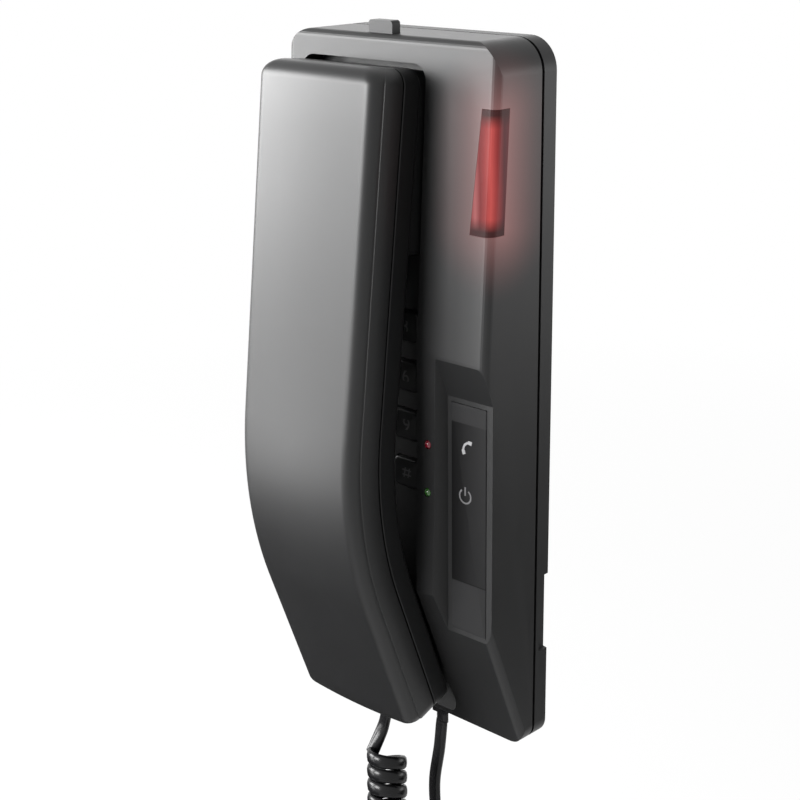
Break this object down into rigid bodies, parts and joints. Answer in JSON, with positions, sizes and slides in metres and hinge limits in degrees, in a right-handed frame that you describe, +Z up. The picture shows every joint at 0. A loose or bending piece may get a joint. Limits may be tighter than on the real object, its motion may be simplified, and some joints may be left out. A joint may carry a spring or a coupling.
{
  "type": "slimline wall phone",
  "caption": "Slimline wall phone: a shallow dark base carries a bent handset in its cradle, a lit corner lamp, a dial under the handset and a curly cord that hangs below.",
  "frame": {"origin": "centre of the base's back face, on the wall", "axes": "+Y into the wall, +Z up along the base's height, +X to the user's right"},
  "size_m": [0.08, 0.056, 0.373],
  "materials": {
    "front_housing": "fine-textured dark grey plastic",
    "rear_cover": "dark grey plastic, slightly darker than the housing",
    "release_tab": "light grey plastic",
    "message_lamp_lens": "translucent red, polished",
    "lamp_board": "green circuit board",
    "lamp_leds": "water-clear resin",
    "status_light_red": "tinted resin",
    "status_light_green": "tinted resin",
    "label_panel": "smoked grey label plate, satin",
    "main_board": "green circuit board",
    "board_screws": "zinc-plated",
    "keypad_mat": "silicone",
    "ringer": "moulded black",
    "hook_switch": "moulded black",
    "hook_spring": "spring wire",
    "hook_plunger": "smooth black plastic",
    "base_socket": "moulded black",
    "key_1": "dark grey key cap",
    "key_2": "dark grey key cap",
    "key_3": "dark grey key cap",
    "key_4": "dark grey key cap",
    "key_5": "dark grey key cap",
    "key_6": "dark grey key cap",
    "key_7": "dark grey key cap",
    "key_8": "dark grey key cap",
    "key_9": "dark grey key cap",
    "key_star": "dark grey key cap",
    "key_0": "dark grey key cap",
    "key_hash": "dark grey key cap",
    "handset_front": "fine-textured dark grey plastic",
    "handset_rear": "fine-textured dark grey plastic",
    "earpiece": "moulded receiver capsule",
    "microphone": "metal can",
    "handset_weight": "plain steel bar",
    "handset_screws": "zinc-plated",
    "handset_socket": "moulded black",
    "handset_plug": "black modular plug",
    "handset_lead": "glossy black cord jacket",
    "base_plug": "black modular plug",
    "cord_coil": "glossy black cord jacket",
    "base_lead": "glossy black cord jacket"
  },
  "bodies": {
    "base": {"front_housing": "front_housing", "rear_cover": "rear_cover", "message_lamp_lens": "message_lamp_lens", "lamp_board": "lamp_board", "lamp_leds": "lamp_leds", "status_light_red": "status_light_red", "status_light_green": "status_light_green", "label_panel": "label_panel", "main_board": "main_board", "board_screws": "board_screws", "keypad_mat": "keypad_mat", "ringer": "ringer", "hook_switch": "hook_switch", "hook_spring": "hook_spring", "base_socket": "base_socket", "base_plug": "base_plug", "cord_coil": "cord_coil", "base_lead": "base_lead"},
    "handset": {"handset_front": "handset_front", "handset_rear": "handset_rear", "earpiece": "earpiece", "microphone": "microphone", "handset_weight": "handset_weight", "handset_screws": "handset_screws", "handset_socket": "handset_socket", "handset_plug": "handset_plug", "handset_lead": "handset_lead"},
    "hook_plunger": {"hook_plunger": "hook_plunger"},
    "release_tab": {"release_tab": "release_tab"},
    "key_1": {"key_1": "key_1"},
    "key_2": {"key_2": "key_2"},
    "key_3": {"key_3": "key_3"},
    "key_4": {"key_4": "key_4"},
    "key_5": {"key_5": "key_5"},
    "key_6": {"key_6": "key_6"},
    "key_7": {"key_7": "key_7"},
    "key_8": {"key_8": "key_8"},
    "key_9": {"key_9": "key_9"},
    "key_star": {"key_star": "key_star"},
    "key_0": {"key_0": "key_0"},
    "key_hash": {"key_hash": "key_hash"}
  },
  "joints": [
    {"name": "handset_lift", "type": "slide", "parent": "base", "child": "handset", "axis": [0, -1, 0], "range_m": [0, 0.04]},
    {"name": "hook_travel", "type": "slide", "parent": "base", "child": "hook_plunger", "axis": [0, -1, 0], "range_m": [0, 0.003], "deforming": ["hook_spring"]},
    {"name": "release_press", "type": "slide", "parent": "base", "child": "release_tab", "axis": [0, 0, -1], "range_m": [0, 0.0015], "stiffness_N_per_m": 400, "springref_m": -0.001},
    {"name": "key_1_press", "type": "slide", "parent": "base", "child": "key_1", "axis": [0, 1, 0], "range_m": [0, 0.0009], "stiffness_N_per_m": 300, "springref_m": -0.0006},
    {"name": "key_2_press", "type": "slide", "parent": "base", "child": "key_2", "axis": [0, 1, 0], "range_m": [0, 0.0009], "stiffness_N_per_m": 300, "springref_m": -0.0006},
    {"name": "key_3_press", "type": "slide", "parent": "base", "child": "key_3", "axis": [0, 1, 0], "range_m": [0, 0.0009], "stiffness_N_per_m": 300, "springref_m": -0.0006},
    {"name": "key_4_press", "type": "slide", "parent": "base", "child": "key_4", "axis": [0, 1, 0], "range_m": [0, 0.0009], "stiffness_N_per_m": 300, "springref_m": -0.0006},
    {"name": "key_5_press", "type": "slide", "parent": "base", "child": "key_5", "axis": [0, 1, 0], "range_m": [0, 0.0009], "stiffness_N_per_m": 300, "springref_m": -0.0006},
    {"name": "key_6_press", "type": "slide", "parent": "base", "child": "key_6", "axis": [0, 1, 0], "range_m": [0, 0.0009], "stiffness_N_per_m": 300, "springref_m": -0.0006},
    {"name": "key_7_press", "type": "slide", "parent": "base", "child": "key_7", "axis": [0, 1, 0], "range_m": [0, 0.0009], "stiffness_N_per_m": 300, "springref_m": -0.0006},
    {"name": "key_8_press", "type": "slide", "parent": "base", "child": "key_8", "axis": [0, 1, 0], "range_m": [0, 0.0009], "stiffness_N_per_m": 300, "springref_m": -0.0006},
    {"name": "key_9_press", "type": "slide", "parent": "base", "child": "key_9", "axis": [0, 1, 0], "range_m": [0, 0.0009], "stiffness_N_per_m": 300, "springref_m": -0.0006},
    {"name": "key_star_press", "type": "slide", "parent": "base", "child": "key_star", "axis": [0, 1, 0], "range_m": [0, 0.0009], "stiffness_N_per_m": 300, "springref_m": -0.0006},
    {"name": "key_0_press", "type": "slide", "parent": "base", "child": "key_0", "axis": [0, 1, 0], "range_m": [0, 0.0009], "stiffness_N_per_m": 300, "springref_m": -0.0006},
    {"name": "key_hash_press", "type": "slide", "parent": "base", "child": "key_hash", "axis": [0, 1, 0], "range_m": [0, 0.0009], "stiffness_N_per_m": 300, "springref_m": -0.0006}
  ],
  "couplings": [
    {"joint": "hook_travel", "follows": "handset_lift", "ratio": 0.075}
  ]
}
